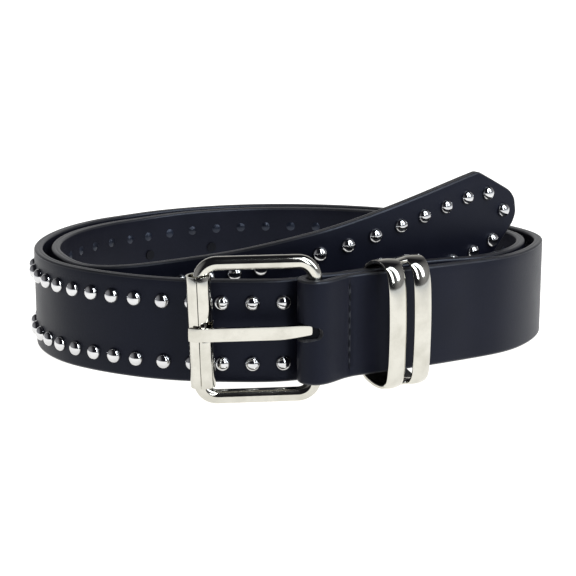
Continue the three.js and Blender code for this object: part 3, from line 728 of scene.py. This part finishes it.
slot_mesh = bmesh.new()
bmesh.ops.create_circle(slot_mesh, cap_ends=True, radius=slot_half_inside, segments=48)
left_half = [v for v in slot_mesh.verts if v.co.x < -0.01]
bmesh.ops.translate(slot_mesh, vec=(slot_end - slot_half_inside, 0, 0), verts=slot_mesh.verts)
bmesh.ops.scale(slot_mesh, vec=(1, slot_half_outside / slot_half_inside, 1), verts=left_half)
for vertex in left_half:
    vertex.co.x = -slot_reach
for vertex in slot_mesh.verts:
    vertex.co.x += slot_fray * noise.noise(vertex.co * 1.7)
    vertex.co.y += slot_fray * noise.noise(vertex.co * 1.3 + Vector((7, 2, 0)))
walls = bmesh.ops.extrude_face_region(slot_mesh, geom=slot_mesh.faces[:])["geom"]
wall_points = [g for g in walls if isinstance(g, bmesh.types.BMVert)]
bmesh.ops.translate(slot_mesh, vec=(0, 0, slot_reach * 2), verts=wall_points)
slot_start = (0, slot_reach, (fold_lift + 0.5) * strap_width)
fold_upright = fold_plan @ local_frame((1, 0, 0), (0, 0, 1), slot_start)
fold_upright.col[2][:3] = fold_plan.to_3x3() @ Vector((0, -1, 0))
slot_cutter = finish_piece("slot_cutter", slot_mesh, [raw_leather], to_part @ fold_upright)
cut_away(strap, slot_cutter)

punch_mesh = bmesh.new()
for index in range(hole_count):
    place = strap_frame(route_length - first_hole_inset - index * hole_pitch)
    hole_seat = Matrix.Translation((0, 0, strap_width * hole_across))
    turned = place @ hole_seat @ Matrix.Rotation(math.pi / 2, 4, "Y")
    bmesh.ops.create_cone(punch_mesh, cap_ends=True, segments=24, radius1=hole_radius, radius2=hole_radius,
                          depth=strap_thickness + 1.2, matrix=turned)
pocket_place = Matrix.Translation((bar_x, bar_y, buckle_height / 2))
bmesh.ops.create_cone(punch_mesh, cap_ends=True, segments=40, radius1=pocket_radius, radius2=pocket_radius,
                      depth=pocket_half * 2, matrix=pocket_place)
punch = finish_piece("punch", punch_mesh, [hole_shade_leather])
cut_away(strap, punch)
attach(strap, "belt")
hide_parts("strap")

# %% [markdown]
# Behind the buckle's bar the two layers are stitched together in a deep crease. The thread
# nearly disappears in it and reads as a dark dashed line. Short round stitches are laid in
# the dent on both faces.

# %% Lay the stitches
stitch_pitch = 4.3
stitch_length = 3.1
stitch_radius = 0.4
stitch_count = 8

stitch_mesh = bmesh.new()
for crease in crease_lengths:
    for index in range(stitch_count):
        height = strap_width / 2 + (index - (stitch_count - 1) / 2) * stitch_pitch
        wobble = 0.12 * math.sin(index * 2.4)
        seat = Matrix.Translation((strap_thickness / 2 - crease_depth + 0.1, wobble, height))
        shape = Matrix.Diagonal((0.9, 1, stitch_length / 2 / stitch_radius, 1))
        bmesh.ops.create_uvsphere(stitch_mesh, u_segments=10, v_segments=6, radius=stitch_radius,
                                  matrix=strap_frame(crease) @ seat @ shape)
for face in stitch_mesh.faces:
    face.smooth = True
stitches = finish_piece("stitches", stitch_mesh, [thread_finish])
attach(stitches, "belt")

# %% [markdown]
# The studs are domed caps, set in pairs, and each has a rivet whose back bulges the lining.
# Round caps could be spheres cut in half, but a short curve spun round its axis gives the low
# crown and the tucked rim of a pressed cap with few faces.

# %% Places of the studs
stud_pitch = 11.206
window_stud_pitch = 10.65
front_stud_pitch = 9.2
stud_radius = 2.9
lower_row = 7.2
upper_row = strap_width - 8.25
last_pair_inset = 25.7
turned_pair_inset = 14.9
turned_pair_shift = 1.6
nose_stud_inset = 7.5

front_start = length_at_turn(284)
window_start = length_at_turn(325)
window_stop = length_at_turn(364)
pairs = []
length = route_length - last_pair_inset
while length > length_at_turn(200):
    pairs.append(length)
    if front_start <= length <= window_start:
        length -= front_stud_pitch
    elif window_start <= length <= window_stop:
        length -= window_stud_pitch
    else:
        length -= stud_pitch
stud_places = [(at, row) for at in pairs for row in (upper_row, lower_row)]
stud_places += [(route_length - turned_pair_inset, upper_row - turned_pair_shift),
                (route_length - turned_pair_inset, lower_row + turned_pair_shift),
                (route_length - nose_stud_inset, strap_width / 2)]
print("studs:", len(stud_places))


# %% Spin one cap and set it everywhere
def spun_cap(profile, sides):
    cap = bmesh.new()
    points = [cap.verts.new((radius, 0, high)) for radius, high in profile]
    edges = [cap.edges.new(pair) for pair in zip(points, points[1:])]
    bmesh.ops.spin(cap, geom=points + edges, axis=(0, 0, 1), cent=(0, 0, 0), angle=math.tau,
                   steps=sides, use_merge=True, use_duplicate=False)
    bmesh.ops.remove_doubles(cap, verts=cap.verts, dist=0.01)
    bmesh.ops.recalc_face_normals(cap, faces=cap.faces)
    rim = [e for e in cap.edges if e.is_boundary]
    bmesh.ops.edgeloop_fill(cap, edges=rim)
    for face in cap.faces:
        face.smooth = len(face.verts) < 5
    data = bpy.data.meshes.new("cap")
    cap.to_mesh(data)
    cap.free()
    return data


def set_caps(name, cap, places, side, material):
    mesh = bmesh.new()
    for at, row in places:
        count = len(mesh.verts)
        mesh.from_mesh(cap)
        mesh.verts.ensure_lookup_table()
        seat = Matrix.Translation((side * strap_thickness / 2, 0, row))
        turned = strap_frame(at) @ seat @ Matrix.Rotation(side * math.pi / 2, 4, "Y")
        bmesh.ops.transform(mesh, matrix=turned, verts=mesh.verts[count:])
    return finish_piece(name, mesh, [material])


# Radius of the cap, and height above the leather.
cap_profile = [(stud_radius, -0.25), (2.88, 0.35), (2.62, 1.12), (2.0, 1.8), (1.1, 2.25), (0.0, 2.4)]
stud_cap = spun_cap(cap_profile, 18)
studs = set_caps("studs", stud_cap, stud_places, 1, chrome)
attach(studs, "belt")
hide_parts(*[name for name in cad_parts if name.startswith("stud_")])

bump_profile = [(2.2, -0.12), (1.8, 0.05), (1.3, 0.3), (0.8, 0.48), (0.3, 0.54), (0.0, 0.55)]
second_round = length_at_turn(440)
bump_places = [(at, row) for at, row in stud_places if at > second_round]
bumps = set_caps("rivet_backs", spun_cap(bump_profile, 14), bump_places, -1, rubbed_leather)
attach(bumps, "belt")

# %% [markdown]
# The buckle is a loop of round wire with four bends. It could be a torus pulled out of shape,
# but wire is bent, so a round outline is run straight and swung round each corner in turn.

# %% Bend the buckle's wire
wire_corner = 6
wire_sides = 24
half_long = buckle_height / 2 - wire_radius

wire_mesh = bmesh.new()
bmesh.ops.create_circle(wire_mesh, segments=wire_sides, radius=wire_radius)
ring_of_wire = wire_mesh.edges[:]
bmesh.ops.translate(wire_mesh, vec=(0, 0, buckle_height / 2), verts=wire_mesh.verts)


def run_straight(mesh, ring, move, pieces):
    for _ in range(pieces):
        old = {v for e in ring for v in e.verts}
        made = bmesh.ops.extrude_edge_only(mesh, edges=ring)["geom"]
        points = {g for g in made if isinstance(g, bmesh.types.BMVert)} - old
        ring = [g for g in made if isinstance(g, bmesh.types.BMEdge) and set(g.verts) <= points]
        bmesh.ops.translate(mesh, vec=Vector(move) / pieces, verts=list(points))
    return ring


def swing_round(mesh, ring, centre, angle, steps):
    to_centre = Matrix.Translation(centre)
    turn = to_centre @ Matrix.Rotation(angle / steps, 4, "Y") @ Matrix.Translation(-Vector(centre))
    for _ in range(steps):
        old = {v for e in ring for v in e.verts}
        made = bmesh.ops.extrude_edge_only(mesh, edges=ring)["geom"]
        points = {g for g in made if isinstance(g, bmesh.types.BMVert)} - old
        ring = [g for g in made if isinstance(g, bmesh.types.BMEdge) and set(g.verts) <= points]
        bmesh.ops.transform(mesh, matrix=turn, verts=list(points))
    return ring


rise = half_long - wire_corner
middle = buckle_height / 2
ring = run_straight(wire_mesh, ring_of_wire, (0, 0, rise), 4)
ring = swing_round(wire_mesh, ring, (wire_corner, 0, middle + rise), math.pi / 2, 10)
ring = run_straight(wire_mesh, ring, (bar_spacing - 2 * wire_corner, 0, 0), 6)
ring = swing_round(wire_mesh, ring, (bar_spacing - wire_corner, 0, middle + rise), math.pi / 2, 10)
ring = run_straight(wire_mesh, ring, (0, 0, -2 * rise), 8)
ring = swing_round(wire_mesh, ring, (bar_spacing - wire_corner, 0, middle - rise), math.pi / 2, 10)
ring = run_straight(wire_mesh, ring, (-(bar_spacing - 2 * wire_corner), 0, 0), 6)
ring = swing_round(wire_mesh, ring, (wire_corner, 0, middle - rise), math.pi / 2, 10)
ring = run_straight(wire_mesh, ring, (0, 0, rise), 4)
bmesh.ops.remove_doubles(wire_mesh, verts=wire_mesh.verts, dist=0.02)
soften(wire_mesh)
wire = finish_piece("buckle_wire", wire_mesh, [nickel], to_part @ buckle_plan)
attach(wire, "buckle")
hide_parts("buckle_frame")

# %% [markdown]
# The roller is sheet metal rolled into a sleeve that doesn't quite close, with a corner cut
# out of one edge beside the tongue. A tube primitive has no seam, so a circle with one gap is
# drawn up to a sleeve, given its sheet thickness, notched and slightly rounded.

# %% Roll the roller
roller_length = 40.6
roller_sheet = 0.7
roller_lean = math.radians(1.9)
roller_inset = 0.25
seam_angle = math.radians(78)
tongue_half = 2.5
notch_above_tongue = 1.6

roller_mesh = bmesh.new()
bmesh.ops.create_circle(roller_mesh, segments=90, radius=roller_radius)
bmesh.ops.rotate(roller_mesh, matrix=Matrix.Rotation(seam_angle, 3, "Z"), verts=roller_mesh.verts)
seam_way = Vector((math.cos(seam_angle), math.sin(seam_angle), 0))
seam_edge = max(roller_mesh.edges, key=lambda e: (e.verts[0].co + e.verts[1].co).dot(seam_way))
bmesh.ops.delete(roller_mesh, geom=[seam_edge], context="EDGES")
bmesh.ops.translate(roller_mesh, vec=(0, 0, -roller_length / 2), verts=roller_mesh.verts)
run_straight(roller_mesh, roller_mesh.edges[:], (0, 0, roller_length), 10)
roller_mesh.normal_update()
outwardness = sum(face.normal.xy.dot(face.calc_center_median().xy) for face in roller_mesh.faces)
if outwardness < 0:
    bmesh.ops.reverse_faces(roller_mesh, faces=roller_mesh.faces)
bmesh.ops.solidify(roller_mesh, geom=roller_mesh.faces[:], thickness=roller_sheet)
bar_middle = Matrix.Translation((bar_spacing - roller_inset, 0, buckle_height / 2))
seat = bar_middle @ Matrix.Rotation(roller_lean, 4, "Y")
roller = finish_piece("roller_sleeve", roller_mesh, [nickel], to_part @ buckle_plan @ seat)

notch_mesh = bmesh.new()
bmesh.ops.create_cube(notch_mesh, size=1)
notch_low = -tongue_half - piece_gap
notch_high = tongue_half + notch_above_tongue
notch_size = (roller_radius + 1, roller_radius + 1, notch_high - notch_low)
bmesh.ops.scale(notch_mesh, vec=notch_size, verts=notch_mesh.verts)
bmesh.ops.translate(notch_mesh, vec=((-roller_radius - 1) / 2 + 0.35, (roller_radius + 1) / 2 + 0.2,
                                     (notch_high + notch_low) / 2), verts=notch_mesh.verts)
inner_edges = [e for e in notch_mesh.edges if all(v.co.x > 0 for v in e.verts)]
corner_edges = [e for e in inner_edges if abs(e.verts[0].co.z - e.verts[1].co.z) < 0.1]
bmesh.ops.bevel(notch_mesh, geom=corner_edges, offset=0.8, segments=4, profile=0.5,
                affect="EDGES", material=-1)
notch = finish_piece("notch", notch_mesh, [nickel], to_part @ buckle_plan @ seat)
cut_away(roller, notch)
rounding = roller.modifiers.new("rounding", "BEVEL")
rounding.width = 0.14 * MM
rounding.segments = 2
rounding.limit_method = "ANGLE"
rounding.angle_limit = math.radians(50)
settle(roller, 50)
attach(roller, "roller")
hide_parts("roller")

# %% [markdown]
# The tongue is one flat bar: looped thin round the right bar, then straight, then bent down
# over the roller. Its front edges are bevelled, and it narrows where it enters the slot.

# %% Draw the tongue
tongue_thickness = 1.8
loop_thickness = 1.0
tongue_bevel = 0.5
tongue_narrow = 0.38

tongue_mesh = bmesh.new()
bmesh.ops.create_grid(tongue_mesh, x_segments=1, y_segments=1, size=0.5)
bmesh.ops.scale(tongue_mesh, vec=(tongue_thickness, tongue_half * 2, 1), verts=tongue_mesh.verts)
front_corners = [v for v in tongue_mesh.verts if v.co.x > 0]
back_corners = [v for v in tongue_mesh.verts if v.co.x < 0]
bmesh.ops.bevel(tongue_mesh, geom=front_corners, offset=tongue_bevel, segments=2, profile=0.5,
                affect="VERTICES", material=-1)
flat_front = [v for v in tongue_mesh.verts if v.co.x > tongue_thickness / 2 - 0.01]
bmesh.ops.scale(tongue_mesh, vec=(1, 0.6, 1), verts=flat_front)
bmesh.ops.bevel(tongue_mesh, geom=back_corners, offset=0.25, segments=2, profile=0.5,
                affect="VERTICES", material=-1)
bmesh.ops.delete(tongue_mesh, geom=tongue_mesh.faces[:], context="FACES_ONLY")
tongue_outline = ring_points(tongue_mesh)

loop_radius = wire_radius + piece_gap + loop_thickness / 2
rest_radius = roller_radius + piece_gap + tongue_thickness / 2
tongue_path = []
for turn in np.linspace(5, -245, 26):
    angle = math.radians(turn)
    tongue_path.append((loop_radius * math.cos(angle), loop_radius * math.sin(angle), 0.0, tongue_narrow))
angle = math.radians(4)
tongue_path.append((loop_radius * math.sin(angle), loop_radius * math.cos(angle), 0.0, tongue_narrow))
for share in (0.03, 0.06, 0.09, 0.12, 0.15, 0.18, 0.21, 0.24, 0.28, 0.32, 0.36, 0.5, 0.7, 0.85):
    eased = min(1, share / 0.35)
    eased = eased * eased * (3 - 2 * eased)
    width = tongue_narrow + (1 - tongue_narrow) * min(1, share / 0.3) ** 0.4
    outward = loop_radius + (rest_radius - loop_radius) * eased
    tongue_path.append((share * bar_spacing, outward, eased, width))
for turn in np.linspace(0, 45, 8):
    angle = math.radians(turn)
    along = bar_spacing + rest_radius * math.sin(angle)
    tongue_path.append((along, rest_radius * math.cos(angle), 1.0, 1.0))


def put_on_tongue(station, spot):
    index = int(station)
    along, outward, thick, width = tongue_path[index]
    before = tongue_path[max(0, index - 1)]
    after = tongue_path[min(len(tongue_path) - 1, index + 1)]
    way = Vector((after[0] - before[0], after[1] - before[1])).normalized()
    point = tongue_outline[spot]
    across = point.x * (loop_thickness + (tongue_thickness - loop_thickness) * thick) / tongue_thickness
    return Vector((along - way.y * across, outward + way.x * across, buckle_height / 2 + point.y * width))


first_ring = tongue_mesh.edges[:]
last_ring = pull(tongue_mesh, first_ring, [float(i) for i in range(len(tongue_path))], put_on_tongue)
close_end(tongue_mesh, first_ring)
end_faces = close_end(tongue_mesh, last_ring)
end_edges = [e for f in end_faces for e in f.edges]
bmesh.ops.bevel(tongue_mesh, geom=end_edges, offset=0.35, segments=3, profile=0.5,
                affect="EDGES", material=-1)
soften(tongue_mesh, 18)
tongue = finish_piece("tongue_bar", tongue_mesh, [nickel], to_part @ buckle_plan)
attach(tongue, "tongue")
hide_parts("tongue")

# %% [markdown]
# The keeper is one sheet loop whose front is split into two crowned bands. It could be two
# rings, but they share their back, so one outline is pulled the keeper's whole length, the
# strip between the bands is taken out in front, and the sheet then gets its thickness.

# %% Shape the keeper
keeper_height = 47.5
keeper_depth = 17.9
keeper_gap = 3.3
keeper_sheet = 1.3
keeper_crown = 1.2
keeper_top_share = 0.25
keeper_low = 2
keeper_behind = half_step + strap_thickness / 2 + piece_gap + keeper_sheet

# The loop's outline. deep and high: shares of keeper_depth and keeper_height.
keeper_outline = [
    (0, 0.12), (0.03, 0.07), (0.12, 0.038), (0.3, 0.014), (0.5, 0.001), (0.68, 0.002), (0.81, 0.018),
    (0.9, 0.055), (0.955, 0.13), (0.988, 0.3), (1, 0.5), (0.985, 0.7), (0.94, 0.85), (0.88, 0.92),
    (0.8, 0.965), (0.68, 0.992), (0.5, 0.999), (0.3, 0.978), (0.12, 0.94), (0.03, 0.9), (0, 0.85)]
loop_points = 80

wrapped = np.array(keeper_outline[-4:] + keeper_outline + keeper_outline[:5]) * (keeper_depth, keeper_height)
loop_knots = np.concatenate([[0], np.cumsum(np.hypot(*np.diff(wrapped, axis=0).T))])
loop_start, loop_stop = loop_knots[4], loop_knots[4 + len(keeper_outline)]
loop_at = np.linspace(loop_start, loop_stop, loop_points + 1)[:-1]
loop_deep = np.clip(smooth_through(loop_knots, wrapped[:, 0], loop_at), 0, keeper_depth)
loop_high = np.clip(smooth_through(loop_knots, wrapped[:, 1], loop_at), 0, keeper_height)

keeper_mesh = bmesh.new()
bmesh.ops.create_circle(keeper_mesh, segments=len(loop_deep), radius=1)
for vertex, deep, high in zip(sorted(keeper_mesh.verts, key=lambda v: v.index), loop_deep, loop_high):
    vertex.co = (deep, high, 0)
keeper_points = ring_points(keeper_mesh)
band_length = (keeper_length - keeper_gap) / 2
band_shares = (0, 0.06, 0.16, 0.28, 0.4, 0.5, 0.6, 0.72, 0.84, 0.94, 1)
keeper_stations = [share * band_length for share in band_shares]
keeper_stations += [keeper_length / 2]
keeper_stations += [keeper_length - band_length + share * band_length for share in band_shares]


def put_on_keeper(station, spot):
    count = len(keeper_points)
    point = keeper_points[spot]
    before = keeper_points[(spot - 1) % count]
    after = keeper_points[(spot + 1) % count]
    way = (after - before).normalized()
    band_share = min(station, keeper_length - station) / band_length
    swell = keeper_crown * (1 - abs(2 * band_share - 1) ** 2.2) if band_share <= 1 else 0
    front = min(1, max(0, (point.x / keeper_depth - 0.7) / 0.25))
    on_top = min(1, point.x / keeper_depth / 0.4) * keeper_top_share
    grow = swell * (on_top + (1 - on_top) * front * front * (3 - 2 * front))
    return Vector((keeper_from_bar + station, point.x + way.y * grow - keeper_behind,
                   keeper_low + point.y - way.x * grow))


pull(keeper_mesh, keeper_mesh.edges[:], keeper_stations, put_on_keeper)
travel = keeper_mesh.verts.layers.float["travel"]
gap_faces = []
for face in keeper_mesh.faces:
    along = sum(v[travel] for v in face.verts) / len(face.verts)
    deep = face.calc_center_median().y + keeper_behind
    if band_length < along < keeper_length - band_length and deep > keeper_depth * 0.72:
        gap_faces.append(face)
bmesh.ops.delete(keeper_mesh, geom=gap_faces, context="FACES")
keeper_mesh.normal_update()
heart = Vector((keeper_from_bar + keeper_length / 2, keeper_depth / 2 - keeper_behind,
                keeper_low + keeper_height / 2))
outwardness = sum(f.normal.dot(f.calc_center_median() - heart) * f.calc_area() for f in keeper_mesh.faces)
placed = to_part @ fold_plan
mirrored = placed.determinant() < 0
if (outwardness < 0) != mirrored:
    bmesh.ops.reverse_faces(keeper_mesh, faces=keeper_mesh.faces)
keeper = finish_piece("keeper_bands", keeper_mesh, [nickel], placed, turn_out=False)
sheet_wall = keeper.modifiers.new("sheet", "SOLIDIFY")
sheet_wall.thickness = keeper_sheet * MM
sheet_wall.offset = -1
rounding = keeper.modifiers.new("rounding", "BEVEL")
rounding.width = 0.3 * MM
rounding.segments = 3
rounding.limit_method = "ANGLE"
rounding.angle_limit = math.radians(55)
settle(keeper, 40)
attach(keeper, "belt")
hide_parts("keeper")
